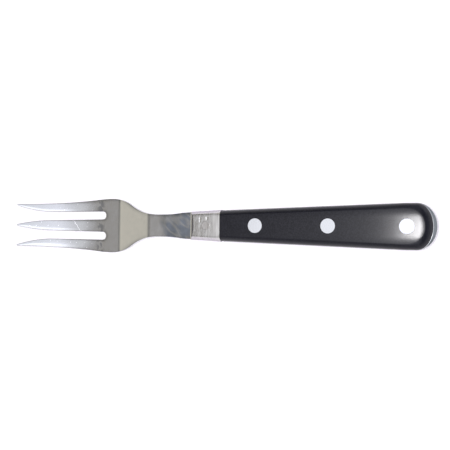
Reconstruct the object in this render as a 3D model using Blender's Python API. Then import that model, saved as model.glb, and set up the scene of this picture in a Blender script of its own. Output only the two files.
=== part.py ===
"""A three-tined table fork with a riveted handle, in metres, +Z up, tines towards -X.

One steel blank makes the tines, the cranked shoulder, the neck and the full tang. Two bolster halves
are pinned to it ahead of the handle. Two black scales are held to the tang by three compression
rivets, each a solid half pressed into a tubular half. The handle's back and the bowl lie on z = 0.
"""

import math

import bmesh
import bpy
from mathutils import Vector

# Lengths along the fork, each from the end of the one before, starting at the tine tips
TINE_LENGTH = 0.0450
ROOT_LENGTH = 0.0076
SHOULDER_LENGTH = 0.0173
NECK_LENGTH = 0.0215
BOLSTER_LENGTH = 0.0158
HANDLE_LENGTH = 0.0983

# Outline of the blank, full widths across the fork
TIP_SPREAD = 0.0208
HEAD_WIDTH = 0.0263
HEAD_SETBACK = 0.0023
HEAD_FLARE_RADIUS = 0.0600
SHOULDER_RADIUS = 0.0240
SHOULDER_RUN = 0.0254
NECK_WIDTH = 0.0106
NECK_FLARE_LENGTH = 0.0149
NECK_FLARE_RADIUS = 0.0450
BOLSTER_FRONT_WIDTH = 0.0126
SEAM_WIDTH = 0.0144
BUTT_WIDTH = 0.0206
BUTT_STRAIGHT_LENGTH = 0.0055
BUTT_ROUND_LENGTH = 0.0087

# Tines and the two slots between them
SLOT_WIDTH = 0.0037
SLOT_SPACING = 0.0100
SLOT_CORNER_RADIUS = 0.0015
TINE_POINT_LENGTH = 0.0175
MIDDLE_TINE_WIDTH = 0.0050
TINE_GAP = 0.00415
TIP_WIDTH = 0.0007

# Side profile of the blank
TANG_THICKNESS = 0.0030
HEAD_THICKNESS = 0.0025
TIP_THICKNESS = 0.0013
BEND_LENGTH = 0.0024
TINE_RISE = 0.0092
EDGE_ROUND = 0.0003

# Handle scales and bolster halves
SCALE_THICKNESS = 0.0039
SCALE_SETBACK = 0.0018
SIDE_INSET = 0.0021
BUTT_INSET = 0.0028
BUTT_FLATNESS = 0.65
CROWN_LENGTH = 0.0320
CROWN_DROP = 0.00105
CROWN_POWER = 2.8
BOLSTER_TAPER = 0.0004
BOLSTER_RAMP_LENGTH = 0.0029
BOLSTER_LIP = 0.0004

# Rivets, measured back from the seam between bolster and scales, and the bolster pin ahead of it
RIVET_PLACES = {"front": 0.0170, "middle": 0.0509, "rear": 0.0858}
RIVET_HEAD_RADIUS = 0.0033
RIVET_HEAD_THICKNESS = 0.0012
RIVET_SLEEVE_RADIUS = 0.0024
RIVET_SHANK_RADIUS = 0.0015
RIVET_SHANK_LENGTH = 0.0062
PIN_PLACE = 0.0070
PIN_RADIUS = 0.0020

# Clearances: the glue line under a scale or bolster half, the slack round a pin or rivet, and the
# space left ahead of a shank's end and of a sleeve's mouth
GLUE_LINE = 0.0001
FIT = 0.0001
END_SPACE = 0.0003

# How finely curves are cut, how near two points count as one, and the fold angles above which an edge
# of the blank gets its round and an edge of any piece is shaded as a hard one
ARC_STEPS = 12
TINE_STEPS = 14
SIDE_STEPS = 4
ROUND_STEPS = 40
SAME_POINT = 1e-7
RIM_ANGLE = math.radians(45)
HARD_ANGLE = math.radians(35)

# Places along X, from the tips back to the butt, with the origin at mid length
TIP_X = -(TINE_LENGTH + ROOT_LENGTH + SHOULDER_LENGTH + NECK_LENGTH + BOLSTER_LENGTH + HANDLE_LENGTH) / 2
SLOT_END_X = TIP_X + TINE_LENGTH
LOWER_BEND_X = SLOT_END_X + ROOT_LENGTH
UPPER_BEND_X = LOWER_BEND_X + SHOULDER_LENGTH
FOOT_X = UPPER_BEND_X + NECK_LENGTH
SEAM_X = FOOT_X + BOLSTER_LENGTH
BUTT_X = SEAM_X + HANDLE_LENGTH
HEAD_X = SLOT_END_X + HEAD_SETBACK
NECK_X = HEAD_X + SHOULDER_RUN
FLARE_X = FOOT_X - NECK_FLARE_LENGTH
POINT_X = TIP_X + TINE_POINT_LENGTH
BUTT_ROUND_X = BUTT_X - BUTT_ROUND_LENGTH
TAPER_END_X = BUTT_ROUND_X - BUTT_STRAIGHT_LENGTH
SCALE_END_X = BUTT_X - SCALE_SETBACK
RAMP_TOP_X = FOOT_X + BOLSTER_RAMP_LENGTH
PIN_X = SEAM_X - PIN_PLACE

# Heights: the tang's middle plane, which the two sides of the handle mirror, and the bowl's
TANG_MIDDLE = SCALE_THICKNESS + GLUE_LINE + TANG_THICKNESS / 2
BOWL_MIDDLE = HEAD_THICKNESS / 2
SEAT = TANG_THICKNESS / 2 + GLUE_LINE
FACE = SEAT + SCALE_THICKNESS


def steps(start, end, count):
    """Evenly spaced values from start to end, both included."""
    return [start + (end - start) * i / count for i in range(count + 1)]


def blend(start, end, share):
    return start + (end - start) * min(1.0, max(0.0, share))


def arc_from_level(x, level_x, level_y, end_x, end_y):
    """Height at x of the arc that leaves its first point level and passes through the second."""
    rise = end_y - level_y
    radius = ((end_x - level_x) ** 2 + rise**2) / (2 * abs(rise))
    return level_y + math.copysign(radius - math.sqrt(radius**2 - (x - level_x) ** 2), rise)


def ogee(x, foot_x, foot_y, crest_x, crest_y, crest_radius):
    """Height at x of two arcs that meet smoothly, level at the foot and level at the crest."""
    run, rise = crest_x - foot_x, crest_y - foot_y
    both_radii = (run**2 + rise**2) / (2 * abs(rise))
    foot_radius = both_radii - crest_radius
    turn_x = foot_x + run * foot_radius / both_radii
    if abs(x - crest_x) < abs(turn_x - crest_x):
        drop = crest_radius - math.sqrt(crest_radius**2 - (x - crest_x) ** 2)
        return crest_y - math.copysign(drop, rise)
    climb = foot_radius - math.sqrt(foot_radius**2 - (x - foot_x) ** 2)
    return foot_y + math.copysign(climb, rise)


def handle_half_width(x):
    """Half the width of bolster and handle, which taper straight from near the butt to the foot."""
    if x < SEAM_X:
        return blend(BOLSTER_FRONT_WIDTH, SEAM_WIDTH, (x - FOOT_X) / BOLSTER_LENGTH) / 2
    return blend(SEAM_WIDTH, BUTT_WIDTH, (x - SEAM_X) / (TAPER_END_X - SEAM_X)) / 2


def butt_round(end_x):
    """Points and outward normals of a half butt, from the side to the end at y = 0."""
    length, half = end_x - BUTT_ROUND_X, BUTT_WIDTH / 2
    round_points = []
    for angle in steps(0, math.pi / 2, ARC_STEPS):
        point = Vector((BUTT_ROUND_X + length * math.sin(angle), half * math.cos(angle), 0))
        normal = Vector((half * math.sin(angle), length * math.cos(angle), 0)).normalized()
        round_points.append((point, normal))
    round_points[-1][0].y = 0
    return round_points


def outer_edge(x):
    """Half width of the blank from the tips to the bolster's foot."""
    if x < HEAD_X:
        return ogee(x, TIP_X, TIP_SPREAD / 2, HEAD_X, HEAD_WIDTH / 2, HEAD_FLARE_RADIUS)
    if x < NECK_X:
        return ogee(x, NECK_X, NECK_WIDTH / 2, HEAD_X, HEAD_WIDTH / 2, SHOULDER_RADIUS)
    if x < FLARE_X:
        return NECK_WIDTH / 2
    return ogee(x, FLARE_X, NECK_WIDTH / 2, FOOT_X, BOLSTER_FRONT_WIDTH / 2, NECK_FLARE_RADIUS)


def slot_edge(x, root_y, waist_y, tip_y):
    """One edge of a slot: a slight taper along the tine, then an arc out to the tine's point."""
    if x < POINT_X:
        return arc_from_level(x, POINT_X, waist_y, TIP_X, tip_y)
    return blend(root_y, waist_y, (SLOT_END_X - x) / (SLOT_END_X - POINT_X))


def slot_outline():
    """The slot on the +Y side, from the outer tine's tip round the slot's end to the middle tine's tip."""
    outer_root = (SLOT_SPACING + SLOT_WIDTH) / 2
    inner_root = (SLOT_SPACING - SLOT_WIDTH) / 2
    outer_waist = MIDDLE_TINE_WIDTH / 2 + TINE_GAP
    outer_tip = TIP_SPREAD / 2 - TIP_WIDTH
    corner_x = SLOT_END_X - SLOT_CORNER_RADIUS
    along = steps(TIP_X, POINT_X, TINE_STEPS // 2) + steps(POINT_X, corner_x, TINE_STEPS)[1:-1]
    points = [(x, slot_edge(x, outer_root, outer_waist, outer_tip)) for x in along]
    corner = []
    for angle in steps(0, math.pi / 2, ARC_STEPS // 2):
        inward = SLOT_CORNER_RADIUS * (1 - math.cos(angle))
        corner.append((corner_x + SLOT_CORNER_RADIUS * math.sin(angle), inward))
    points += [(x, outer_root - inward) for x, inward in corner]
    points += [(x, inner_root + inward) for x, inward in reversed(corner)]
    points += [(x, slot_edge(x, inner_root, MIDDLE_TINE_WIDTH / 2, TIP_WIDTH / 2)) for x in reversed(along)]
    return points


def blank_outline():
    """The stamped outline of the blank, as one closed loop of points."""
    half = [(point.x, point.y) for point, _ in reversed(butt_round(BUTT_X))]
    half += [(x, handle_half_width(x)) for x in (TAPER_END_X, SEAM_X)]
    edge_places = steps(FOOT_X, FLARE_X, ARC_STEPS // 2) + steps(NECK_X, HEAD_X, ARC_STEPS)
    edge_places += steps(HEAD_X, SLOT_END_X, SIDE_STEPS // 2)[1:] + steps(SLOT_END_X, POINT_X, TINE_STEPS)[1:]
    edge_places += steps(POINT_X, TIP_X, TINE_STEPS // 2)[1:]
    half += [(x, outer_edge(x)) for x in edge_places]
    half += slot_outline()
    return half + [(x, -y) for x, y in reversed(half[1:])]


def smooth_step_area(x, start, end):
    """Integral up to x of a ramp that climbs from 0 at start to 1 at end."""
    if x < start:
        return 0.0
    if x > end:
        return x - (start + end) / 2
    return (x - start) ** 2 / (2 * (end - start))


def blank_middle(x):
    """Height of the blank's middle plane: tines curved up, bowl level, shoulder cranked up to the tang."""
    pitch = (TANG_MIDDLE - BOWL_MIDDLE) / SHOULDER_LENGTH
    lower = smooth_step_area(x, LOWER_BEND_X - BEND_LENGTH / 2, LOWER_BEND_X + BEND_LENGTH / 2)
    upper = smooth_step_area(x, UPPER_BEND_X - BEND_LENGTH / 2, UPPER_BEND_X + BEND_LENGTH / 2)
    curl = TINE_RISE * (max(0.0, SLOT_END_X - x) / TINE_LENGTH) ** 2
    return BOWL_MIDDLE + pitch * (lower - upper) + curl


def blank_thickness(x):
    """Thickness square to the sheet: full on the tang, thinner at the head, thinnest at the tips."""
    if x < SLOT_END_X:
        return blend(HEAD_THICKNESS, TIP_THICKNESS, (SLOT_END_X - x) / TINE_LENGTH)
    return blend(HEAD_THICKNESS, TANG_THICKNESS, (x - LOWER_BEND_X) / SHOULDER_LENGTH)


def blank_slope(x):
    """Rise of the middle plane per unit length, from its height just to either side."""
    reach = BEND_LENGTH / 4
    return (blank_middle(x + reach) - blank_middle(x - reach)) / (2 * reach)


def side_inset(height, full_height, full_inset, flatness=0.0):
    """How far a convex handle side has drawn in at a height, on an arc between its foot and its top.

    A flatness of 0 makes the side upright at the tang, and towards 1 it flattens into a plain bevel.
    """
    lean = flatness * math.atan2(full_inset, full_height)
    across, along = math.cos(lean), math.sin(lean)
    radius = (full_height**2 + full_inset**2) / (2 * (full_inset * across - full_height * along))
    return radius * across - math.sqrt(radius**2 - (height + radius * along) ** 2)


def scale_height(x):
    """Height of a scale above its seat: level, then falling off in a crown towards the butt."""
    crown = max(0.0, 1 - (SCALE_END_X - x) / CROWN_LENGTH)
    return SCALE_THICKNESS - CROWN_DROP * crown**CROWN_POWER


def bolster_height(x):
    """Height of a bolster half above its seat: the front ramp, then a slight climb to the scales."""
    top = SCALE_THICKNESS - BOLSTER_TAPER * (SEAM_X - max(x, RAMP_TOP_X)) / BOLSTER_LENGTH
    return blend(BOLSTER_LIP, top, (x - FOOT_X) / BOLSTER_RAMP_LENGTH)


def material(name, colour, roughness, metallic):
    made = bpy.data.materials.new(name)
    made.use_nodes = True
    shader = made.node_tree.nodes["Principled BSDF"]
    shader.inputs["Base Color"].default_value = (*colour, 1)
    shader.inputs["Roughness"].default_value = roughness
    shader.inputs["Metallic"].default_value = metallic
    return made


def add_piece(name, shape, finish, place=(0, 0, 0)):
    """Turns a bmesh into a named object with its material, smooth but for its hard edges."""
    bmesh.ops.recalc_face_normals(shape, faces=shape.faces)
    mesh = bpy.data.meshes.new(name)
    shape.to_mesh(mesh)
    shape.free()
    mesh.materials.append(finish)
    mesh.shade_smooth()
    mesh.set_sharp_from_angle(angle=HARD_ANGLE)
    piece = bpy.data.objects.new(name, mesh)
    piece.location = place
    piece.parent = fork
    bpy.context.collection.objects.link(piece)
    return piece


def lathe(profile):
    """Turns a closed (radius, z) profile round Z, with points on the axis welded into one."""
    shape = bmesh.new()
    rings = []
    for radius, z in profile:
        if radius == 0:
            rings.append([shape.verts.new((0, 0, z))] * ROUND_STEPS)
            continue
        turns = [2 * math.pi * i / ROUND_STEPS for i in range(ROUND_STEPS)]
        rings.append([shape.verts.new((radius * math.cos(a), radius * math.sin(a), z)) for a in turns])
    for ring, following in zip(rings, rings[1:]):
        for i in range(ROUND_STEPS):
            after = (i + 1) % ROUND_STEPS
            corners = [ring[i], ring[after], following[after], following[i]]
            shape.faces.new(dict.fromkeys(corners))
    return shape


def loft(sections):
    """Closes a solid over sections with the same number of points."""
    shape = bmesh.new()
    rings = [[shape.verts.new(point) for point in section] for section in sections]
    for ring, following in zip(rings, rings[1:]):
        for i in range(len(ring)):
            shape.faces.new((ring[i - 1], ring[i], following[i], following[i - 1]))
    shape.faces.new(rings[0])
    shape.faces.new(rings[-1])
    return shape


def cut(piece, cutter):
    """Takes the cutter's shape out of the piece and keeps the cutter as a hidden helper."""
    cutter.hide_render = True
    cutter.display_type = "WIRE"
    boolean = piece.modifiers.new(cutter.name, "BOOLEAN")
    boolean.operation = "DIFFERENCE"
    boolean.object = cutter


def drill(name, pieces, x, radius, length):
    """An upright round hole at x through the pieces, centred on the tang's middle plane."""
    profile = [(0, length / 2), (radius, length / 2), (radius, -length / 2), (0, -length / 2)]
    cutter = add_piece(name, lathe(profile), cutter_finish, (x, 0, TANG_MIDDLE))
    for piece in pieces:
        cut(piece, cutter)


def make_blank():
    """Stamps the outline, cuts it into strips that can bend, thickens it and bends it to its profile."""
    shape = bmesh.new()
    outline = blank_outline()
    shape.faces.new([shape.verts.new((x, y, 0)) for x, y in outline])
    places = {x for x, _ in outline}
    for bend_x in (LOWER_BEND_X, UPPER_BEND_X):
        places |= set(steps(bend_x - BEND_LENGTH / 2, bend_x + BEND_LENGTH / 2, ARC_STEPS // 2))
    for x in sorted(places):
        everything = shape.verts[:] + shape.edges[:] + shape.faces[:]
        plane = {"plane_co": (x, 0, 0), "plane_no": (1, 0, 0)}
        bmesh.ops.bisect_plane(shape, geom=everything, dist=SAME_POINT, **plane)
    lower_faces = shape.faces[:]
    raised = bmesh.ops.extrude_face_region(shape, geom=lower_faces, use_keep_orig=True)["geom"]
    upper = {item for item in raised if isinstance(item, bmesh.types.BMVert)}
    for vert in shape.verts:
        x = vert.co.x
        half = blank_thickness(x) / 2 * math.hypot(1, blank_slope(x))
        vert.co.z = blank_middle(x) + (half if vert in upper else -half)
    round_exposed_edges(shape)
    return add_piece("fork_blank", shape, blank_steel)


def round_exposed_edges(shape):
    """Takes the sharpness off the blank's edges ahead of the bolster and round the butt."""
    shape.normal_update()
    rim = []
    for edge in shape.edges:
        exposed = all(vert.co.x <= FOOT_X or vert.co.x >= BUTT_ROUND_X for vert in edge.verts)
        if exposed and len(edge.link_faces) == 2 and edge.calc_face_angle(0) > RIM_ANGLE:
            rim.append(edge)
    bmesh.ops.bevel(shape, geom=rim, offset=EDGE_ROUND, segments=1, affect="EDGES", clamp_overlap=True)


def make_bolster(name, side):
    """One bolster half: convex sides like the scales', a ramped front and a slightly tapered face."""
    places = steps(FOOT_X, RAMP_TOP_X, SIDE_STEPS // 2)
    places += steps(RAMP_TOP_X, SEAM_X - GLUE_LINE, SIDE_STEPS)[1:]
    sections = []
    for x in places:
        height, half = bolster_height(x), handle_half_width(x)
        flank = []
        for z in steps(0, height, SIDE_STEPS):
            flank.append((half - side_inset(z, SCALE_THICKNESS, SIDE_INSET), SEAT + z))
        flank += [(-y, z) for y, z in reversed(flank)]
        sections.append([(x, y, TANG_MIDDLE + side * z) for y, z in flank])
    return add_piece(name, loft(sections), bolster_steel)


def make_scale(name, side):
    """One handle scale: flat face, convex sides, and a face and end that round off towards the butt."""
    crown_x = SCALE_END_X - CROWN_LENGTH
    places = steps(SEAM_X + GLUE_LINE, crown_x, SIDE_STEPS)
    places += steps(crown_x, TAPER_END_X, SIDE_STEPS)[1:]
    places += steps(TAPER_END_X, BUTT_ROUND_X, SIDE_STEPS)[1:-1]
    rim = [(Vector((x, handle_half_width(x), 0)), Vector((0, 1, 0))) for x in places]
    rim += butt_round(SCALE_END_X)
    shape = bmesh.new()
    rings = []
    for share in steps(0, 1, SIDE_STEPS):
        ring = []
        for point, normal in rim:
            height = scale_height(point.x)
            full_inset = blend(SIDE_INSET, BUTT_INSET, normal.x)
            inset = side_inset(share * height, height, full_inset, BUTT_FLATNESS * normal.x)
            spot = point - normal * inset
            spot.z = TANG_MIDDLE + side * (SEAT + share * height)
            ring.append(shape.verts.new(spot))
        far_side = [shape.verts.new((vert.co.x, -vert.co.y, vert.co.z)) for vert in reversed(ring[:-1])]
        rings.append(ring + far_side)
    count = len(rings[0])
    for ring, following in zip(rings, rings[1:]):
        for i in range(count - 1):
            shape.faces.new((ring[i], ring[i + 1], following[i + 1], following[i]))
    for ring in (rings[0], rings[-1]):
        for i in range(count // 2):
            corners = [ring[i], ring[i + 1], ring[count - 2 - i], ring[count - 1 - i]]
            shape.faces.new(dict.fromkeys(corners))
    shape.faces.new([ring[0] for ring in rings] + [ring[-1] for ring in reversed(rings)])
    return add_piece(name, shape, scale_black)


def counterbore(scale, side, name, x):
    """The stepped hole in a scale: a seat for the rivet's head and a through hole for its sleeve."""
    head, sleeve = RIVET_HEAD_RADIUS + FIT, RIVET_SLEEVE_RADIUS + FIT
    top, shoulder, bottom = FACE + SEAT, FACE - RIVET_HEAD_THICKNESS - FIT, 0
    profile = [(0, top), (head, top), (head, shoulder), (sleeve, shoulder), (sleeve, bottom), (0, bottom)]
    shape = lathe([(radius, side * z) for radius, z in profile])
    cut(scale, add_piece(name, shape, cutter_finish, (x, 0, TANG_MIDDLE)))


def grind_flush(shape, x, level, side, height_at):
    """Brings the head's outer face, drawn at a level, flush with the face around it."""
    for vert in shape.verts:
        if math.isclose(vert.co.z, side * level, abs_tol=SAME_POINT):
            vert.co.z = side * (SEAT + height_at(x + vert.co.x))


def make_rivet(place_name, x):
    """A compression rivet: the front half's solid shank sits inside the back half's sleeve."""
    shoulder = FACE - RIVET_HEAD_THICKNESS
    shank_end = shoulder - RIVET_SHANK_LENGTH
    sleeve_mouth = shoulder - END_SPACE
    bore = RIVET_SHANK_RADIUS + FIT
    bore_end = shank_end - END_SPACE
    solid = [(0, FACE), (RIVET_HEAD_RADIUS, FACE), (RIVET_HEAD_RADIUS, shoulder)]
    solid += [(RIVET_SHANK_RADIUS, shoulder), (RIVET_SHANK_RADIUS, shank_end), (0, shank_end)]
    tube = [(0, -FACE), (RIVET_HEAD_RADIUS, -FACE), (RIVET_HEAD_RADIUS, -shoulder)]
    tube += [(RIVET_SLEEVE_RADIUS, -shoulder), (RIVET_SLEEVE_RADIUS, sleeve_mouth)]
    tube += [(bore, sleeve_mouth), (bore, bore_end), (0, bore_end)]
    for half_name, profile, side in (("solid", solid, 1), ("tubular", tube, -1)):
        shape = lathe(profile)
        grind_flush(shape, x, FACE, side, scale_height)
        add_piece(f"{place_name}_rivet_{half_name}", shape, rivet_aluminium, (x, 0, TANG_MIDDLE))


def make_pin():
    """The bolster pin: a plain rod through both halves, ground flush with their faces."""
    shape = lathe([(0, FACE), (PIN_RADIUS, FACE), (PIN_RADIUS, -FACE), (0, -FACE)])
    for side in (1, -1):
        grind_flush(shape, PIN_X, FACE, side, bolster_height)
    add_piece("bolster_pin", shape, pin_steel, (PIN_X, 0, TANG_MIDDLE))


for old in list(bpy.data.objects):
    bpy.data.objects.remove(old, do_unlink=True)

fork = bpy.data.objects.new("table_fork", None)
bpy.context.collection.objects.link(fork)

blank_steel = material("polished_steel", (0.56, 0.57, 0.58), 0.18, 1.0)
bolster_steel = material("brushed_steel", (0.60, 0.59, 0.57), 0.32, 1.0)
pin_steel = material("pin_steel", (0.66, 0.65, 0.63), 0.30, 1.0)
scale_black = material("black_scale", (0.012, 0.011, 0.015), 0.35, 0.0)
rivet_aluminium = material("rivet_aluminium", (0.86, 0.87, 0.88), 0.35, 1.0)
cutter_finish = material("cutter", (0.8, 0.2, 0.2), 0.5, 0.0)

fork_blank = make_blank()
front_bolster = make_bolster("front_bolster", 1)
back_bolster = make_bolster("back_bolster", -1)
front_scale = make_scale("front_scale", 1)
back_scale = make_scale("back_scale", -1)

through = 2 * (FACE + SEAT)
drill("pin_hole", (fork_blank, front_bolster, back_bolster), PIN_X, PIN_RADIUS + FIT, through)
make_pin()
for rivet_name, rivet_place in RIVET_PLACES.items():
    rivet_x = SEAM_X + rivet_place
    drill(f"{rivet_name}_tang_hole", (fork_blank,), rivet_x, RIVET_SLEEVE_RADIUS + FIT, through)
    counterbore(front_scale, 1, f"{rivet_name}_front_seat", rivet_x)
    counterbore(back_scale, -1, f"{rivet_name}_back_seat", rivet_x)
    make_rivet(rivet_name, rivet_x)
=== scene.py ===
"""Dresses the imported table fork: finer pieces in its frame, their finishes, a pale table, soft light."""

import math
import operator

import bmesh
import bpy
import numpy as np
from mathutils import Matrix, Vector


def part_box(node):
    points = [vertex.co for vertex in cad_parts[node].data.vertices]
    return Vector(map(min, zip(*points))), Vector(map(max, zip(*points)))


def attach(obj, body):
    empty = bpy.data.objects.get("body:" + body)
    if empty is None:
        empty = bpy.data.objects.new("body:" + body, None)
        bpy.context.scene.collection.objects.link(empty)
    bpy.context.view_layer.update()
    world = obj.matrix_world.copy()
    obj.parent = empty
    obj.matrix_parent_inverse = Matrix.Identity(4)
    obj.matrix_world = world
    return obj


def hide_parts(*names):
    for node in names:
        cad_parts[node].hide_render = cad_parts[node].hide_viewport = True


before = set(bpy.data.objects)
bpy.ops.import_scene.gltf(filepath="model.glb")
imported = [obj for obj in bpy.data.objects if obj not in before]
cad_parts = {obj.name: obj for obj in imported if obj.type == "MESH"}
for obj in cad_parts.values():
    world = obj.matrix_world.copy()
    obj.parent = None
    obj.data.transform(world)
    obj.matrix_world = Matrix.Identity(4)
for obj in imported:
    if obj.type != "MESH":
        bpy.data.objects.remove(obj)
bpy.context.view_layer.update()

# The blank
# One sheet of stainless steel, stamped to its outline with two slots, then pressed so that the tines
# curve up and the shoulder cranks down to the bowl. Its tang runs between the scales to the butt.
# The edges are tumbled round and the faces polished, a little wavy where the buff rode over the neck.

MM = 0.001

blank_low, blank_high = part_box("fork_blank")
bolster_low, bolster_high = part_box("front_bolster")
scale_low, scale_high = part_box("front_scale")
TIP_X = blank_low.x
BUTT_X = blank_high.x
HEAD_HALF = blank_high.y
FOOT_X = bolster_low.x
BUTT_HALF = scale_high.y
SEAM_X = (bolster_high.x + scale_low.x) / 2
SEAM_HALF = bolster_high.y

SLOT_END_X = TIP_X + 44.75 * MM
LOWER_BEND_X = SLOT_END_X + 7.65 * MM
UPPER_BEND_X = LOWER_BEND_X + 17.5 * MM
HEAD_X = SLOT_END_X + 3.75 * MM
NECK_X = HEAD_X + 25.7 * MM
FLARE_X = FOOT_X - 12.9 * MM
BUTT_ROUND_X = BUTT_X - 8.7 * MM
TAPER_END_X = BUTT_ROUND_X - 5.5 * MM
POINT_X = TIP_X + 17.5 * MM

TIP_SPREAD_HALF = 10.4 * MM
NECK_HALF = 5.35 * MM
FOOT_HALF = 6.3 * MM
BOLSTER_PROUD = 0.2 * MM
HEAD_FLARE_RADIUS = 60.0 * MM
SHOULDER_RADIUS = 20.0 * MM
NECK_FLARE_RADIUS = 45.0 * MM

SLOT_MIDDLE_Y = 5.0 * MM
SLOT_HALF = 1.85 * MM
SLOT_CORNER = 1.6 * MM
MIDDLE_TINE_HALF = 2.5 * MM
TINE_GAP = 4.15 * MM
TIP_HALF = 0.35 * MM

HEAD_THICKNESS = 2.5 * MM
TIP_THICKNESS = 1.3 * MM
TANG_THICKNESS = 3.0 * MM
TANG_MIDDLE = 5.5 * MM
BOWL_MIDDLE = HEAD_THICKNESS / 2
TINE_RISE = 9.2 * MM
BEND_LENGTH = 2.0 * MM

EDGE_ROUND = 0.32 * MM
TANG_EDGE_ROUND = 0.05 * MM
BUTT_ROUND = BUTT_X - BUTT_ROUND_X
BUTT_BEVEL_WIDTH = 1.4 * MM
BUTT_BEVEL_SLOPE = math.tan(math.radians(31))
RIM_ROLL_WIDTH = 1.9 * MM
RIM_ROLL_DROP = 0.16 * MM
COVER_FADE = 1.5 * MM
LAST_TINE_TURN = math.radians(2)
TURN_SHARE = 1 / 3

TINE_ROWS = 20
GAP_ROWS = 6
SAME_POINT = 1e-7


def steps(start, end, count):
    return [start + (end - start) * i / count for i in range(count + 1)]


def fanned(start, end, count):
    """Values from start to end that crowd together at both ends."""
    return [start + (end - start) * (1 - math.cos(math.pi * i / count)) / 2 for i in range(count + 1)]


def blend(start, end, share):
    return start + (end - start) * min(1.0, max(0.0, share))


def arc_from_level(x, level_x, level_y, end_x, end_y):
    """Height at x of the arc that leaves its first point level and passes through the second."""
    rise = end_y - level_y
    radius = ((end_x - level_x) ** 2 + rise**2) / (2 * abs(rise))
    return level_y + math.copysign(radius - math.sqrt(radius**2 - (x - level_x) ** 2), rise)


def ogee(x, foot_x, foot_y, crest_x, crest_y, crest_radius):
    """Height at x of two arcs that meet smoothly, level at the foot and level at the crest."""
    run, rise = crest_x - foot_x, crest_y - foot_y
    both_radii = (run**2 + rise**2) / (2 * abs(rise))
    foot_radius = both_radii - crest_radius
    turn_x = foot_x + run * foot_radius / both_radii
    if abs(x - crest_x) < abs(turn_x - crest_x):
        drop = crest_radius - math.sqrt(crest_radius**2 - (x - crest_x) ** 2)
        return crest_y - math.copysign(drop, rise)
    climb = foot_radius - math.sqrt(foot_radius**2 - (x - foot_x) ** 2)
    return foot_y + math.copysign(climb, rise)


def handle_half(x):
    """Half the width of bolster and handle, two straight tapers, with the bolster a little proud."""
    if x < SEAM_X:
        return BOLSTER_PROUD + blend(FOOT_HALF, SEAM_HALF, (x - FOOT_X) / (SEAM_X - FOOT_X))
    return blend(SEAM_HALF, BUTT_HALF, (x - SEAM_X) / (TAPER_END_X - SEAM_X))


def outer_edge(x):
    """Half the width of the blank at any place from the tips to the butt."""
    if x < HEAD_X:
        return ogee(x, TIP_X, TIP_SPREAD_HALF, HEAD_X, HEAD_HALF, HEAD_FLARE_RADIUS)
    if x < NECK_X:
        return ogee(x, NECK_X, NECK_HALF, HEAD_X, HEAD_HALF, SHOULDER_RADIUS)
    if x < FLARE_X:
        return NECK_HALF
    if x < FOOT_X:
        return ogee(x, FLARE_X, NECK_HALF, FOOT_X, FOOT_HALF, NECK_FLARE_RADIUS)
    if x < BUTT_ROUND_X:
        return handle_half(x)
    share = min(1.0, (x - BUTT_ROUND_X) / BUTT_ROUND)
    return BUTT_HALF * math.sqrt(1 - share**2)


def slot_edges(x):
    """The outer and inner edges of the +Y slot, carried on behind the slot's end as guide lines."""
    corner_x = SLOT_END_X - SLOT_CORNER
    if x < POINT_X:
        outer = arc_from_level(x, POINT_X, MIDDLE_TINE_HALF + TINE_GAP, TIP_X, TIP_SPREAD_HALF - 2 * TIP_HALF)
        return outer, arc_from_level(x, POINT_X, MIDDLE_TINE_HALF, TIP_X, TIP_HALF)
    if x < corner_x:
        share = (SLOT_END_X - x) / (SLOT_END_X - POINT_X)
        outer = blend(SLOT_MIDDLE_Y + SLOT_HALF, MIDDLE_TINE_HALF + TINE_GAP, share)
        return outer, blend(SLOT_MIDDLE_Y - SLOT_HALF, MIDDLE_TINE_HALF, share)
    ahead = min(SLOT_CORNER, x - corner_x)
    half = SLOT_HALF - SLOT_CORNER + math.sqrt(SLOT_CORNER**2 - ahead**2)
    narrowing = min(1.0, outer_edge(x) / outer_edge(SLOT_END_X))
    return (SLOT_MIDDLE_Y + half) * narrowing, (SLOT_MIDDLE_Y - half) * narrowing


def across(x):
    """Places across the blank at x: outer tine, slot, middle tine, slot, outer tine."""
    outer = outer_edge(x)
    slot_outer, slot_inner = slot_edges(x)
    into_tip = max(0.0, 1 - (x - TIP_X) / TIP_HALF)
    rounded = math.sqrt(1 - into_tip**2)
    tine_middle, tine_half = (outer + slot_outer) / 2, (outer - slot_outer) / 2 * rounded
    half = fanned(tine_middle + tine_half, tine_middle - tine_half, TINE_ROWS)[:-1]
    half += steps(tine_middle - tine_half, slot_inner * rounded, GAP_ROWS)[:-1]
    middle = fanned(slot_inner * rounded, -slot_inner * rounded, TINE_ROWS)
    return half + middle + [-y for y in reversed(half)]


def bend_climb(x, bend_x):
    """Length climbed past a bend, eased over the bend's own length."""
    start, end = bend_x - BEND_LENGTH / 2, bend_x + BEND_LENGTH / 2
    if x < start:
        return 0.0
    return x - bend_x if x > end else (x - start) ** 2 / (2 * BEND_LENGTH)


def blank_middle(x):
    """Height of the sheet's middle: tines curved up, bowl level, shoulder cranked up to the tang."""
    pitch = (TANG_MIDDLE - BOWL_MIDDLE) / (UPPER_BEND_X - LOWER_BEND_X)
    curl = TINE_RISE * (max(0.0, SLOT_END_X - x) / (SLOT_END_X - TIP_X)) ** 2
    return BOWL_MIDDLE + pitch * (bend_climb(x, LOWER_BEND_X) - bend_climb(x, UPPER_BEND_X)) + curl


def blank_half_thickness(x):
    """Half the sheet's upright thickness, thinnest at the tips and fullest on the tang."""
    thickness = blend(HEAD_THICKNESS, TIP_THICKNESS, (SLOT_END_X - x) / (SLOT_END_X - TIP_X))
    if x > SLOT_END_X:
        thickness = blend(HEAD_THICKNESS, TANG_THICKNESS, (x - LOWER_BEND_X) / (UPPER_BEND_X - LOWER_BEND_X))
    reach = BEND_LENGTH / 4
    slope = (blank_middle(x + reach) - blank_middle(x - reach)) / (2 * reach)
    return thickness / 2 * math.hypot(1, slope)


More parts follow.
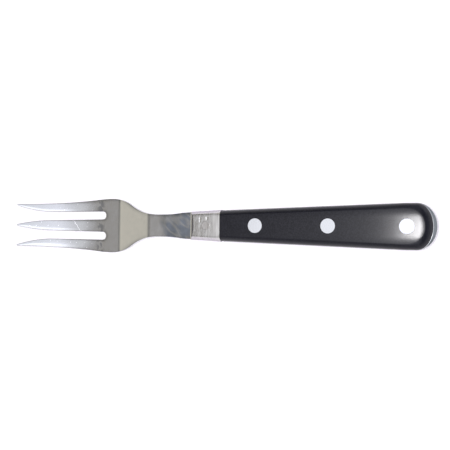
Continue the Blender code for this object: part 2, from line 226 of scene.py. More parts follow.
def bareness(x):
    """1 where the blank lies open ahead of the bolster, 0 where bolster and scales cover it."""
    return blend(1, 0, (x - FOOT_X + COVER_FADE) / COVER_FADE)


def butt_bevel(x, y):
    """Depth of the bevel round the butt, which is widest at its end and runs out along its sides."""
    endness = math.sqrt(max(0.0, 1 - (y / BUTT_HALF) ** 2))
    if x <= BUTT_ROUND_X or endness < SAME_POINT:
        return 0.0
    facing = endness / math.hypot(endness, BUTT_ROUND * y / BUTT_HALF**2)
    short_of_edge = BUTT_ROUND - (x - BUTT_ROUND_X) / endness
    return BUTT_BEVEL_SLOPE * endness * facing * max(0.0, BUTT_BEVEL_WIDTH - short_of_edge)


def edge_drop(x, y, nearness):
    """How far the faces have drawn in near an edge: a soft round, a slow roll, and a bevel at the butt."""
    bare = bareness(x)
    edge_round = blend(TANG_EDGE_ROUND, EDGE_ROUND, bare)
    lip = max(0.0, 1 - nearness / edge_round)
    roll = max(0.0, 1 - nearness / RIM_ROLL_WIDTH)
    rounded = edge_round * (1 - math.sqrt(1 - lip**2)) + RIM_ROLL_DROP * bare * roll**2
    return rounded + butt_bevel(x, y)


def last_tine_tilt(x, y):
    """Height that the slight turn of the -Y tine adds, coming in over the third next to its root."""
    if y > -SLOT_MIDDLE_Y or x > SLOT_END_X:
        return 0.0
    middle = -(outer_edge(x) + slot_edges(x)[0]) / 2
    share = (SLOT_END_X - x) / (SLOT_END_X - TIP_X)
    return math.tan(LAST_TINE_TURN) * (y - middle) * min(1.0, share / TURN_SHARE)


def edge_distance(spots, starts, ends):
    """How far each spot is from the nearest of the line pieces between starts and ends."""
    runs = ends - starts
    lengths = np.maximum((runs**2).sum(1), SAME_POINT**2)
    offsets = spots[:, None] - starts[None]
    along = np.clip((offsets * runs).sum(2) / lengths, 0, 1)
    return np.sqrt(((offsets - along[..., None] * runs) ** 2).sum(2).min(1))


def add_piece(name, shape):
    """Makes an object of a bmesh: doubles merged, faces outwards, shaded smooth."""
    bmesh.ops.remove_doubles(shape, verts=shape.verts, dist=SAME_POINT)
    loose = [vert for vert in shape.verts if not vert.link_faces]
    bmesh.ops.delete(shape, geom=loose, context="VERTS")
    bmesh.ops.recalc_face_normals(shape, faces=shape.faces)
    mesh = bpy.data.meshes.new(name)
    shape.to_mesh(mesh)
    shape.free()
    mesh.shade_smooth()
    piece = bpy.data.objects.new(name, mesh)
    bpy.context.scene.collection.objects.link(piece)
    return piece


def blank_places():
    """Places along the blank, close together where it bends, rounds or ends."""
    places = [TIP_X + TIP_HALF * (1 - math.cos(a)) for a in steps(0, math.pi / 2, 6)]
    places += steps(TIP_X + TIP_HALF, POINT_X, 36) + steps(POINT_X, SLOT_END_X - SLOT_CORNER, 48)
    places += [SLOT_END_X - SLOT_CORNER * (1 - math.sin(a)) for a in steps(0, math.pi / 2, 12)]
    places += [SLOT_END_X + EDGE_ROUND * share for share in (0.12, 0.35, 0.7, 1.2, 2.0, 3.2)]
    places += steps(SLOT_END_X + 2 * MM, LOWER_BEND_X - BEND_LENGTH, 10)
    places += steps(LOWER_BEND_X - BEND_LENGTH, LOWER_BEND_X + BEND_LENGTH, 20)
    places += steps(LOWER_BEND_X + BEND_LENGTH, UPPER_BEND_X - BEND_LENGTH, 34)
    places += steps(UPPER_BEND_X - BEND_LENGTH, UPPER_BEND_X + BEND_LENGTH, 20)
    places += steps(UPPER_BEND_X + BEND_LENGTH, FOOT_X, 44) + steps(FOOT_X, bolster_high.x, 10)
    places += steps(SEAM_X, TAPER_END_X, 24) + steps(TAPER_END_X, BUTT_ROUND_X, 6)
    places.sort()
    return [x for x, before in zip(places, [-1.0] + places) if x - before > SAME_POINT]


def butt_curves():
    """Curves of spots from the butt's straight sides to its rounded end, close together on the bevel."""
    lengths = steps(0, BUTT_ROUND - BUTT_BEVEL_WIDTH, 14)[1:]
    lengths += fanned(BUTT_ROUND - BUTT_BEVEL_WIDTH, BUTT_ROUND, 24)[1:]
    rows = across(BUTT_ROUND_X)
    bulge = [math.sqrt(max(0.0, 1 - (y / BUTT_HALF) ** 2)) for y in rows]
    return [[(BUTT_ROUND_X + length * share, y) for y, share in zip(rows, bulge)] for length in lengths]


def make_blank():
    """Lays a sheet over the outline, then gives it thickness, bends and edges rounded by their nearness."""
    places = blank_places()
    sheet = np.array([[(x, y) for y in across(x)] for x in places] + butt_curves())
    columns, rows = sheet.shape[:2]
    slots = set(range(TINE_ROWS, TINE_ROWS + GAP_ROWS))
    slots |= {rows - 2 - row for row in slots}
    cells = []
    for i in range(columns - 1):
        in_slot = sheet[i, 0, 0] < SLOT_END_X - SAME_POINT
        for j in range(rows - 1):
            if not (in_slot and j in slots):
                corner = i * rows + j
                cells.append((corner, corner + 1, corner + rows + 1, corner + rows))
    uses = {}
    for cell in cells:
        for pair in zip(cell, cell[1:] + cell[:1]):
            uses.setdefault(tuple(sorted(pair)), []).append(pair)
    rim = [pairs[0] for pairs in uses.values() if len(pairs) == 1]
    flat = sheet.reshape(-1, 2)
    starts = flat[[a for a, _ in rim]]
    ends = flat[[b for _, b in rim]]
    upper, lower = [], []
    for column in sheet:
        for (x, y), nearness in zip(column, edge_distance(column, starts, ends)):
            half = blank_half_thickness(x)
            middle = blank_middle(x) + last_tine_tilt(x, y)
            half_left = half - min(half, edge_drop(x, y, nearness))
            upper.append((x, y, middle + half_left))
            lower.append((x, y, middle - half_left))
    shape = bmesh.new()
    top = [shape.verts.new(point) for point in upper]
    under = [shape.verts.new(point) for point in lower]
    for cell in cells:
        shape.faces.new([top[k] for k in cell])
        shape.faces.new([under[k] for k in reversed(cell)])
    for a, b in rim:
        shape.faces.new((top[b], top[a], under[a], under[b]))
    return add_piece("steel_blank", shape)


def add_node(tree, kind, inputs=None, **settings):
    """Adds a node, sets its options, and gives each named input a value or a link."""
    made = tree.nodes.new(kind)
    for option, value in settings.items():
        setattr(made, option, value)
    for socket, value in (inputs or {}).items():
        if isinstance(value, bpy.types.NodeSocket):
            tree.links.new(value, made.inputs[socket])
        else:
            made.inputs[socket].default_value = value
    return made


def new_finish(name, colour, metallic):
    """A material with the plain values set, and its tree, shader and Object coordinates to build on."""
    finish = bpy.data.materials.new(name)
    finish.use_nodes = True
    tree = finish.node_tree
    shader = tree.nodes["Principled BSDF"]
    shader.inputs["Base Color"].default_value = (*colour, 1)
    shader.inputs["Metallic"].default_value = metallic
    spot = add_node(tree, "ShaderNodeTexCoord").outputs["Object"]
    return finish, tree, shader, spot


def noise(tree, spot, size, detail=2.0, stretch=(1, 1, 1), turn=0.0):
    """A noise whose grains are about a size in metres, stretched along axes that may be turned about Z."""
    sockets = {"Vector": spot, "Scale": [size * factor for factor in stretch], "Rotation": (0, 0, turn)}
    placed = add_node(tree, "ShaderNodeMapping", sockets, vector_type="TEXTURE")
    sockets = {"Vector": placed.outputs["Vector"], "Scale": 1.0, "Detail": detail}
    return add_node(tree, "ShaderNodeTexNoise", sockets).outputs["Fac"]


def spread(tree, value, low, high, to_low, to_high):
    """Carries a value from one range to another, held at the ends."""
    sockets = {"Value": value, "From Min": low, "From Max": high, "To Min": to_low, "To Max": to_high}
    return add_node(tree, "ShaderNodeMapRange", sockets).outputs["Result"]


def reckon(tree, operation, *values):
    """The result of one sum on values or links."""
    return add_node(tree, "ShaderNodeMath", dict(enumerate(values)), operation=operation).outputs[0]


def times(tree, value, factor):
    return reckon(tree, "MULTIPLY", value, factor)


def apart(tree, value, other):
    """How far two values are from each other."""
    return reckon(tree, "ABSOLUTE", reckon(tree, "SUBTRACT", value, other))


def relief(tree, height, depth, strength=1.0, under=None):
    """A normal that shows a height as relief of a depth, on top of another normal if there is one."""
    made = add_node(tree, "ShaderNodeBump", {"Height": height, "Strength": strength, "Distance": depth})
    if under is not None:
        tree.links.new(under, made.inputs["Normal"])
    return made.outputs["Normal"]


def mixed_colour(tree, share, first, second):
    return add_node(tree, "ShaderNodeMix", {0: share, 6: first, 7: second}, data_type="RGBA").outputs[2]


STEEL_COLOUR = (0.57, 0.575, 0.58, 1)
# Painted reflection: the blue-grey colour and the pale streak colour below paint a wavy reflection onto the
# neck's steel.
PAINTED_REFLECTION_COLOUR = (0.265, 0.295, 0.345, 1)
PAINTED_STREAK_COLOUR = (0.44, 0.445, 0.44, 1)
STAIN_COLOUR = (0.36, 0.37, 0.39, 1)
NICK_COLOUR = (0.92, 0.92, 0.93, 1)
# Where the painted reflection on the neck starts, how it fades in and wanders, and the size of its pale
# painted streaks.
PAINTED_REFLECTION_X = UPPER_BEND_X + 8.3 * MM
PAINTED_REFLECTION_FADE = 4.0 * MM
PAINTED_REFLECTION_WANDER = 7.0 * MM
PAINTED_STREAK_SIZE = 3.1 * MM
PAINTED_STREAK_STRETCH = (3.5, 1, 1)
PAINTED_STREAK_TURN = math.radians(-40)
PAINTED_STREAK_HALF = 0.13
PAINTED_STREAK_SHARE = 0.8
STAIN_X = SLOT_END_X - 2.55 * MM
STAIN_SIZE = 1.8 * MM
STAIN_STRETCH = (0.8, 1.5, 1)
STAIN_EDGE = (0.44, 0.54)
STAIN_REACH = (1.0 * MM, 2.4 * MM)
NICK_SPACING = 1.8 * MM
NICK_RADIUS = 0.26 * MM
NICK_ROUGHNESS = 0.1
HAIRLINE_X = SLOT_END_X - 15.2 * MM
HAIRLINE_LEAN = -0.75
HAIRLINE_WANDER = 0.8 * MM
HAIRLINE_KINK = 1.1 * MM
HAIRLINE_WIDTH = 0.24 * MM
UPWARD_FADE = 0.3
HAZE_SIZE = 2.2 * MM
HAZE = (0.11, 0.19)
WAVE_SIZE = 6.5 * MM
WAVE_DEPTH = 0.16 * MM
WAVE_RUN = 9.0 * MM
HEAD_WAVE_SHARE = 0.12
FINE_SIZE = 0.35 * MM
FINE_DEPTH = 0.004 * MM


def painted_neck_reflection(tree, spot, along, wave):
    """Share of the painted blue-grey reflection on the neck, which starts along a wavy line, and of the pale
    painted streaks in it.
    """
    edge = reckon(tree, "MULTIPLY_ADD", wave, PAINTED_REFLECTION_WANDER, along)
    reflection_begun = spread(tree, edge, PAINTED_REFLECTION_X, PAINTED_REFLECTION_X + PAINTED_REFLECTION_FADE, 0.0, 1.0)
    reflection_share = times(tree, reflection_begun, spread(tree, along, FOOT_X, SEAM_X, 1.0, 0.0))
    streak_ridge = apart(tree, noise(tree, spot, PAINTED_STREAK_SIZE, 1.5, PAINTED_STREAK_STRETCH, PAINTED_STREAK_TURN), 0.5)
    return reflection_share, spread(tree, streak_ridge, 0.0, PAINTED_STREAK_HALF, PAINTED_STREAK_SHARE, 0.0)


def root_stains(tree, spot, along):
    """Share of the dull stains that lie across the tines just ahead of the slots' ends."""
    blotch = spread(tree, noise(tree, spot, STAIN_SIZE, 2.0, STAIN_STRETCH), *STAIN_EDGE, 0.0, 1.0)
    return times(tree, blotch, spread(tree, apart(tree, along, STAIN_X), *STAIN_REACH, 1.0, 0.0))


def nicks(tree, spot, place):
    """Share of the small nicks on the tines, and of a wandering hairline across the middle one's face."""
    cells = add_node(tree, "ShaderNodeTexVoronoi", {"Vector": spot, "Scale": 1 / NICK_SPACING})
    reach = NICK_RADIUS / NICK_SPACING
    on_tines = spread(tree, place["X"], STAIN_X, SLOT_END_X, 1.0, 0.0)
    small = times(tree, spread(tree, cells.outputs["Distance"], reach / 2, reach, 1.0, 0.0), on_tines)
    kinks = noise(tree, spot, HAIRLINE_KINK, 1.0)
    ends = (HAIRLINE_X - HAIRLINE_WANDER / 2, HAIRLINE_X + HAIRLINE_WANDER / 2)
    path = reckon(tree, "MULTIPLY_ADD", place["Y"], HAIRLINE_LEAN, spread(tree, kinks, 0.3, 0.7, *ends))
    line = spread(tree, apart(tree, place["X"], path), HAIRLINE_WIDTH / 2, HAIRLINE_WIDTH, 1.0, 0.0)
    on_middle = spread(tree, apart(tree, place["Y"], 0.0), MIDDLE_TINE_HALF, SLOT_MIDDLE_Y, 1.0, 0.0)
    normal = add_node(tree, "ShaderNodeNewGeometry").outputs["Normal"]
    upward = add_node(tree, "ShaderNodeSeparateXYZ", {"Vector": normal}).outputs["Z"]
    line = times(tree, times(tree, line, on_middle), spread(tree, upward, 0.0, UPWARD_FADE, 0.0, 1.0))
    return reckon(tree, "MAXIMUM", small, line)


def polished_steel():
    """Buffed stainless steel: a mirror softened by haze, waves from the buff, a painted blue-grey reflection
    on the neck, and marks of use.
    """
    finish, tree, shader, spot = new_finish("polished_steel", STEEL_COLOUR[:3], 1.0)
    place = add_node(tree, "ShaderNodeSeparateXYZ", {"Vector": spot}).outputs
    wave = noise(tree, spot, WAVE_SIZE, 0.5)
    reflection_share, streak_share = painted_neck_reflection(tree, spot, place["X"], wave)
    nick = nicks(tree, spot, place)
    # The neck's colour carries a painted blue-grey reflection with pale painted streaks.
    reflection_colour = mixed_colour(tree, streak_share, PAINTED_REFLECTION_COLOUR, PAINTED_STREAK_COLOUR)
    colour = mixed_colour(tree, reflection_share, STEEL_COLOUR, reflection_colour)
    colour = mixed_colour(tree, root_stains(tree, spot, place["X"]), colour, STAIN_COLOUR)
    tree.links.new(mixed_colour(tree, nick, colour, NICK_COLOUR), shader.inputs["Base Color"])
    haze = spread(tree, noise(tree, spot, HAZE_SIZE, 3.0), 0.35, 0.65, *HAZE)
    tree.links.new(reckon(tree, "MULTIPLY_ADD", nick, NICK_ROUGHNESS, haze), shader.inputs["Roughness"])
    on_neck = spread(tree, place["X"], UPPER_BEND_X, UPPER_BEND_X + WAVE_RUN, HEAD_WAVE_SHARE, 1.0)
    buffed = relief(tree, times(tree, wave, on_neck), WAVE_DEPTH)
    fine = relief(tree, noise(tree, spot, FINE_SIZE, 2.0), FINE_DEPTH, 0.5, buffed)
    tree.links.new(fine, shader.inputs["Normal"])
    return finish


steel_blank = make_blank()
steel_blank.data.materials.append(polished_steel())
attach(steel_blank, "root")
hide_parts("fork_blank")

# The bolster halves
# Two small blocks of stainless steel, one on each side of the blank, which stiffen the neck and give
# the scales a shoulder to butt against. Their fronts sweep up off the neck, their sides are nearly
# straight and a little proud of the scales, and their faces are ground across with a coarse belt.

SEAT = bolster_low.z - TANG_MIDDLE
FACE = scale_high.z - TANG_MIDDLE
HANDLE_DEPTH = FACE - SEAT
SIDE_INSET = 2.2 * MM
BOLSTER_TAPER = 0.4 * MM
RAMP_LENGTH = 2.8 * MM
RAMP_BOW = 0.6 * MM
FRONT_LIP = 0.20 * MM
LIP_TOP = 0.42 * MM
LIP_RUN = 0.50 * MM
BOLSTER_CORNER_RUN = 0.32 * MM
BOLSTER_FACE_RUN = 0.40 * MM
FACE_ROLL_DROP = 0.20 * MM
FACE_ROLL_WIDTH = 1.4 * MM
FACE_ROLL_FADE = 1.2 * MM
BOLSTER_INSET = 1.65 * MM
BOLSTER_FLATNESS = 0.8
SIDE_FADE = 4.0 * MM
FLANK_ROWS = 10
CORNER_ROWS = 9
FACE_ROWS = 28
ROUND_SIDES = 96
HARD_ANGLE = math.radians(32)


def side_inset(height, full_height, full_inset, flatness):
    """How far a convex side has drawn in at a height: upright at the tang, or flatter towards a bevel."""
    lean = flatness * math.atan2(full_inset, full_height)
    out, rise = math.cos(lean), math.sin(lean)
    radius = (full_height**2 + full_inset**2) / (2 * (full_inset * out - full_height * rise))
    return radius * out - math.sqrt(radius**2 - (height + radius * rise) ** 2)


def corner_curve(before, corner, after, count):
    """Points of a soft corner between two points, on a curve that leaves and arrives along both sides."""
    curve = []
    for share in steps(0, 1, count):
        left = 1 - share
        pulls = (left**2, 2 * share * left, share**2)
        curve.append(tuple(sum(map(operator.mul, pulls, values)) for values in zip(before, corner, after)))
    return curve


def flank(edge_height, face_height, side_shape, side_run, face_run):
    """(inset, height) up a convex side and round the soft corner onto the face, which has its own height."""
    run = min(side_run, edge_height / 3)
    rise = [(side_inset(z, *side_shape), z) for z in steps(0, edge_height - run, FLANK_ROWS)]
    top = side_inset(edge_height, *side_shape)
    return rise[:-1] + corner_curve(rise[-1], (top, edge_height), (top + face_run, face_height), CORNER_ROWS)


def bolster_height(x):
    """Height of a bolster half above its seat: a low sloped lip, the ramp, a slight climb to the scales."""
    behind = x - FOOT_X
    if behind < LIP_RUN:
        return blend(FRONT_LIP, LIP_TOP, behind / LIP_RUN)
    top = HANDLE_DEPTH - BOLSTER_TAPER * (SEAM_X - x) / (SEAM_X - FOOT_X)
    return blend(LIP_TOP, top, (behind - LIP_RUN) / (RAMP_LENGTH - LIP_RUN))


def face_roll(x, inside):
    """How far a bolster's face has rolled off inside its edge, less on the ramp and at the scales."""
    full = blend(0, 1, (x - FOOT_X) / RAMP_LENGTH) * blend(0, 1, (SEAM_X - x) / FACE_ROLL_FADE)
    return FACE_ROLL_DROP * full * blend(1, 0, inside / FACE_ROLL_WIDTH) ** 2


def close_over(shape, sections):
    """Closes a solid over sections that have the same number of points."""
    rings = [[shape.verts.new(point) for point in section] for section in sections]
    for ring, following in zip(rings, rings[1:]):
        for i in range(len(ring)):
            shape.faces.new((ring[i - 1], ring[i], following[i], following[i - 1]))
    shape.faces.new(rings[0])
    shape.faces.new(rings[-1])


def shade_by_angle(piece):
    piece.data.shade_smooth()
    piece.data.set_sharp_from_angle(angle=HARD_ANGLE)


def turned(profile):
    """A solid turned round Z from a (radius, z) profile that starts and ends on the axis."""
    shape = bmesh.new()
    angles = [2 * math.pi * i / ROUND_SIDES for i in range(ROUND_SIDES)]
    rings = []
    for radius, z in profile:
        rings.append([shape.verts.new((radius * math.cos(a), radius * math.sin(a), z)) for a in angles])
    for ring, following in zip(rings, rings[1:]):
        for i in range(ROUND_SIDES):
            shape.faces.new((ring[i - 1], ring[i], following[i], following[i - 1]))
    return shape


def bore(piece, profile, places):
    """Cuts a turned hole at each place along X, in the tang's middle plane, and keeps only the result."""
    for x in places:
        shape = turned(profile)
        bmesh.ops.translate(shape, verts=shape.verts, vec=(x, 0, TANG_MIDDLE))
        cutter = add_piece("bore", shape)
        cut = piece.modifiers.new("bore", "BOOLEAN")
        cut.operation = "DIFFERENCE"
        cut.object = cutter
        bpy.context.view_layer.update()
        graph = bpy.context.evaluated_depsgraph_get()
        mesh = bpy.data.meshes.new_from_object(piece.evaluated_get(graph))
        piece.modifiers.remove(cut)
        piece.data = mesh
        bpy.data.objects.remove(cutter)
    shade_by_angle(piece)


def make_bolster(name, side):
    glue = SEAM_X - bolster_high.x
    places = fanned(FOOT_X, FOOT_X + LIP_RUN, 8)[:-1]
    places += steps(FOOT_X + LIP_RUN, FOOT_X + RAMP_LENGTH, 24)[:-1]
    places += fanned(FOOT_X + RAMP_LENGTH, SEAM_X - glue, 22)
    sections = []
    for x in places:
        past_lip = blend(0, 1, (x - FOOT_X - LIP_RUN) / LIP_RUN)
        bow = RAMP_BOW * past_lip * blend(1, 0, (x - FOOT_X - RAMP_LENGTH) / RAMP_LENGTH)
        height = bolster_height(x + bow)
        run = min(BOLSTER_CORNER_RUN, height / 3)
        face_run = min(BOLSTER_FACE_RUN, height / 3)
        ahead = (SEAM_X - x) / SIDE_FADE
        full_inset = blend(SIDE_INSET, BOLSTER_INSET, ahead)
        side_shape = (HANDLE_DEPTH, full_inset, blend(0, BOLSTER_FLATNESS, ahead))
        rise = flank(height - face_roll(x, 0), height - face_roll(x, face_run), side_shape, run, face_run)
        edge = [(handle_half(x) - inset, SEAT + z) for inset, z in rise]
        face_y = edge[-1][0]
        face = []
        for y in fanned(face_y, -face_y, FACE_ROWS)[1:-1]:
            rolled_off = face_roll(x, face_y + face_run - abs(y))
            face.append((y, SEAT + bolster_height(x + bow * (y / face_y) ** 2) - rolled_off))
        section = edge + face + [(-y, z) for y, z in reversed(edge)]
        sections.append([(x, y, TANG_MIDDLE + side * z) for y, z in section])
    shape = bmesh.new()
    close_over(shape, sections)
    return add_piece(name, shape)


STROKES = ((SEAM_X - 9.8 * MM, 2.6 * MM, 1.6 * MM), (SEAM_X - 6.4 * MM, 3.2 * MM, 1.0 * MM))
STROKE_HALF_WIDTH = 0.55 * MM
STROKE_DEPTH = 0.07 * MM
DENT_SIZE = 2.0 * MM
DENT_DEPTH = 0.12 * MM
REAR_DENT_SHARE = 0.2
LINE_SIZE = 0.35 * MM
LINE_STRETCH = (1, 20, 20)
LINE_DEPTH = 0.02 * MM
LINE_SHADES = (0.92, 1.08)
LINE_HAZE = 0.06
GRAZING_TINT = (0.56, 0.52, 0.60, 1)
BOLSTER_COLOUR = (0.58, 0.575, 0.565)
BOLSTER_ROUGHNESS = (0.22, 0.36)


def ground_steel(name, colour, roughness):
    """Satin steel, ground across the fork: fine lines along Y, dents towards the front, two short strokes."""
    finish, tree, shader, spot = new_finish(name, colour, 1.0)
    place = add_node(tree, "ShaderNodeSeparateXYZ", {"Vector": spot}).outputs
    lines = noise(tree, spot, LINE_SIZE, 3.0, LINE_STRETCH)
    shader.inputs["Specular Tint"].default_value = GRAZING_TINT
    dark, light = ([channel * shade for channel in colour] + [1] for shade in LINE_SHADES)
    shades = mixed_colour(tree, spread(tree, lines, 0.35, 0.65, 0.0, 1.0), dark, light)
    tree.links.new(shades, shader.inputs["Base Color"])
    satin = spread(tree, place["X"], FOOT_X + RAMP_LENGTH, SEAM_X, *roughness)
    uneven = spread(tree, lines, 0.3, 0.7, -LINE_HAZE, LINE_HAZE)
    tree.links.new(reckon(tree, "ADD", satin, uneven), shader.inputs["Roughness"])
    fading = spread(tree, place["X"], FOOT_X + RAMP_LENGTH, SEAM_X, 1.0, REAR_DENT_SHARE)
    normal = relief(tree, times(tree, noise(tree, spot, DENT_SIZE, 1.5), fading), DENT_DEPTH)
    for x, y, half_length in STROKES:
        along = spread(tree, apart(tree, place["Y"], y), half_length / 2, half_length, 1.0, 0.0)
        beside = spread(tree, apart(tree, place["X"], x), 0.0, STROKE_HALF_WIDTH, 1.0, 0.0)
        normal = relief(tree, times(tree, beside, along), -STROKE_DEPTH, 1.0, normal)
    tree.links.new(relief(tree, lines, LINE_DEPTH, 0.6, normal), shader.inputs["Normal"])
    return finish


pin_low, pin_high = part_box("bolster_pin")
PIN_X = (pin_low.x + pin_high.x) / 2
PIN_RADIUS = (pin_high.x - pin_low.x) / 2
HOLE_SLACK = 0.03 * MM
BEYOND = 1.0 * MM
pin_bore = [(0, FACE + BEYOND), (PIN_RADIUS + HOLE_SLACK, FACE + BEYOND)]
pin_bore += [(PIN_RADIUS + HOLE_SLACK, -FACE - BEYOND), (0, -FACE - BEYOND)]
bolster_finish = ground_steel("bolster_steel", BOLSTER_COLOUR, BOLSTER_ROUGHNESS)
BOLSTER_HALVES = (("front_bolster_half", "front_bolster", 1), ("back_bolster_half", "back_bolster", -1))

for bolster_name, node, side in BOLSTER_HALVES:
    bolster_half = make_bolster(bolster_name, side)
    bore(bolster_half, pin_bore, [PIN_X])
    bolster_half.data.materials.append(bolster_finish)
    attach(bolster_half, "root")
    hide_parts(node)

# The bolster pin
# A short steel rod through both bolster halves and the tang, peened over and ground off with them, so
# that only the fine ring of its edge and a slight dish show.

PIN_EDGE = 0.12 * MM
PIN_DISH = 0.05 * MM
PIN_DISH_SHARE = 0.8
PIN_COLOUR = (0.45, 0.435, 0.42)
PIN_ROUGHNESS = (0.32, 0.32)

pin_top = bolster_height(PIN_X) + SEAT
dish_shares = steps(0, PIN_DISH_SHARE, 8)
pin_rim = [(PIN_RADIUS - PIN_EDGE, pin_top), (PIN_RADIUS, pin_top), (PIN_RADIUS, pin_top - PIN_EDGE)]
pin_profile = [(PIN_RADIUS * share, pin_top - PIN_DISH * (1 - share**2)) for share in dish_shares]
pin_profile += corner_curve(*pin_rim, 5)
pin_profile += [(radius, -z) for radius, z in reversed(pin_profile)]
pin_shape = turned(pin_profile)
bmesh.ops.translate(pin_shape, verts=pin_shape.verts, vec=(PIN_X, 0, TANG_MIDDLE))
flush_pin = add_piece("flush_pin", pin_shape)
flush_pin.data.materials.append(ground_steel("pin_steel", PIN_COLOUR, PIN_ROUGHNESS))
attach(flush_pin, "root")
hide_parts("bolster_pin")

# The handle scales
# Two slabs of black moulded plastic, one on each side of the tang, flat on their faces and convex on
# their sides, crowned towards the butt. They are drilled and counterbored for the rivets, and their
# satin skin is finely grained.

SCALE_LONGER = 0.2 * MM
SCALE_END_X = scale_high.x + SCALE_LONGER
FACE_ROUND_X = BUTT_ROUND_X - 3.5 * MM
BUTT_INSET = 2.4 * MM
BUTT_FLATNESS = 0.7
SCALE_CORNER_RUN = 0.4 * MM
BUTT_CORNER_RUN = 0.8 * MM
BUTT_FACE_RUN = 0.8 * MM
CROWN_LENGTH = 32.0 * MM
CROWN_DROP = 1.1 * MM
CROWN_POWER = 2.8
SIDE_ROLL_DROP = 0.50 * MM
SIDE_ROLL_WIDTH = 6.0 * MM
SIDE_ROLL_START = 15.0 * MM
END_ROLL_DROP = 0.70 * MM
END_ROLL_WIDTH = 5.7 * MM
ROUND_LENGTH = SCALE_END_X - BUTT_ROUND_X
rivet_boxes = [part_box(f"{place}_rivet_solid") for place in ("front", "middle", "rear")]
RIVET_PLACES = [(low.x + high.x) / 2 for low, high in rivet_boxes]
RIVET_RADIUS = (rivet_boxes[0][1].x - rivet_boxes[0][0].x) / 2
RIVET_HEAD = 1.2 * MM
SLEEVE_RADIUS = 2.4 * MM


def scale_height(x, y):
    """Height of a scale above its seat: rolled off at its edges, crowned towards the rounded butt."""
    share = min(0.98, abs(y) / BUTT_HALF)
    end_x = BUTT_ROUND_X + ROUND_LENGTH * math.sqrt(1 - share**2)
    crown = blend(0, 1, 1 - (end_x - x) / CROWN_LENGTH)
    side_share = blend(1, 0, (handle_half(x) - abs(y)) / SIDE_ROLL_WIDTH)
    side_share *= blend(0, 1, (x - SEAM_X) / SIDE_ROLL_START)
    end_share = blend(1, 0, (end_x - x) / END_ROLL_WIDTH)
    rolled_off = SIDE_ROLL_DROP * side_share**2 + END_ROLL_DROP * end_share**2
    return HANDLE_DEPTH - CROWN_DROP * crown**CROWN_POWER - rolled_off


def scale_rim():
    """Spots along the +Y foot of a scale and round its butt, each with the face's edge above it."""
    places = steps(scale_low.x, FACE_ROUND_X, 44)[:-1]
    rim = [(Vector((x, handle_half(x))), Vector((x, handle_half(x) - SIDE_INSET))) for x in places]
    for angle in steps(0, math.pi / 2, 60):
        along, aside = math.sin(angle), math.cos(angle)
        foot_x = FACE_ROUND_X + (SCALE_END_X - FACE_ROUND_X) * along
        round_share = min(1.0, max(0.0, (foot_x - BUTT_ROUND_X) / ROUND_LENGTH))
        foot = Vector((foot_x, BUTT_HALF * math.sqrt(1 - round_share**2)))
        edge_x = FACE_ROUND_X + (SCALE_END_X - BUTT_INSET - FACE_ROUND_X) * along
        rim.append((foot, Vector((edge_x, (BUTT_HALF - SIDE_INSET) * aside))))
    return rim


def make_scale(name, side):
    sections = []
    for foot, face_edge in scale_rim():
        full_inset = (face_edge - foot).length
        inward = (face_edge - foot) / full_inset
        endness = -inward.x
        face_run = blend(SCALE_CORNER_RUN, BUTT_FACE_RUN, endness)
        edge_height = scale_height(*face_edge)
        face_height = scale_height(*(face_edge + inward * face_run))
        side_shape = (edge_height, full_inset, BUTT_FLATNESS * endness)
        side_run = blend(SCALE_CORNER_RUN, BUTT_CORNER_RUN, endness)
        edge = []
        for inset, z in flank(edge_height, face_height, side_shape, side_run, face_run):
            spot = foot + inward * inset
            edge.append((spot.x, max(0.0, spot.y), SEAT + z))
        face_x, face_y, _ = edge[-1]
        face = [(face_x, y, SEAT + scale_height(face_x, y)) for y in fanned(face_y, -face_y, FACE_ROWS)[1:-1]]
        section = edge + face + [(x, -y, z) for x, y, z in reversed(edge)]
        sections.append([(x, y, TANG_MIDDLE + side * z) for x, y, z in section])
    shape = bmesh.new()
    close_over(shape, sections)
    return add_piece(name, shape)


GRAIN_COLOURS = ((0.002, 0.002, 0.0045, 1), (0.010, 0.010, 0.015, 1))
GRAIN_SIZE = 0.45 * MM
GRAIN_DEPTH = 0.025 * MM
MOTTLE_SIZE = 0.9 * MM
MOTTLE_ROUGHNESS = (0.28, 0.40)
PLASTIC_SPECULAR = 0.10
SKIN_SHARE = 0.40
SKIN_ROUGHNESS = 0.19


def black_plastic():
    """Black moulded plastic with a satin skin: fine grain and mottled gloss."""
    finish, tree, shader, spot = new_finish("black_scale", GRAIN_COLOURS[0][:3], 0.0)
    shader.inputs["Specular IOR Level"].default_value = PLASTIC_SPECULAR
    shader.inputs["Coat Weight"].default_value = SKIN_SHARE
    shader.inputs["Coat Roughness"].default_value = SKIN_ROUGHNESS
    mottle = noise(tree, spot, MOTTLE_SIZE, 4.0)
    tree.links.new(spread(tree, mottle, 0.3, 0.7, *MOTTLE_ROUGHNESS), shader.inputs["Roughness"])
    grain = noise(tree, spot, GRAIN_SIZE, 2.0)
    speckle = mixed_colour(tree, spread(tree, grain, 0.38, 0.66, 0.0, 1.0), *GRAIN_COLOURS)
    tree.links.new(speckle, shader.inputs["Base Color"])
    grained = relief(tree, grain, GRAIN_DEPTH, 0.5)
    for socket in ("Normal", "Coat Normal"):
        tree.links.new(grained, shader.inputs[socket])
    return finish


shoulder = FACE - RIVET_HEAD
head_bore = RIVET_RADIUS + HOLE_SLACK
sleeve_bore = SLEEVE_RADIUS + HOLE_SLACK
rivet_bore = [(0, FACE + BEYOND), (head_bore, FACE + BEYOND), (head_bore, shoulder), (sleeve_bore, shoulder)]
rivet_bore += [(radius, -z) for radius, z in reversed(rivet_bore)]
scale_finish = black_plastic()
SCALES = (("front_handle_scale", "front_scale", 1), ("back_handle_scale", "back_scale", -1))

for scale_name, node, side in SCALES:
    handle_scale = make_scale(scale_name, side)
    bore(handle_scale, rivet_bore, RIVET_PLACES)
    handle_scale.data.materials.append(scale_finish)
    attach(handle_scale, "root")
    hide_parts(node)

# The rivets
# Three compression rivets of bright aluminium. Each is a solid half from the front, pressed into a
# tubular half from the back. Both heads sit in counterbores and are ground across, flush with the
# scales.

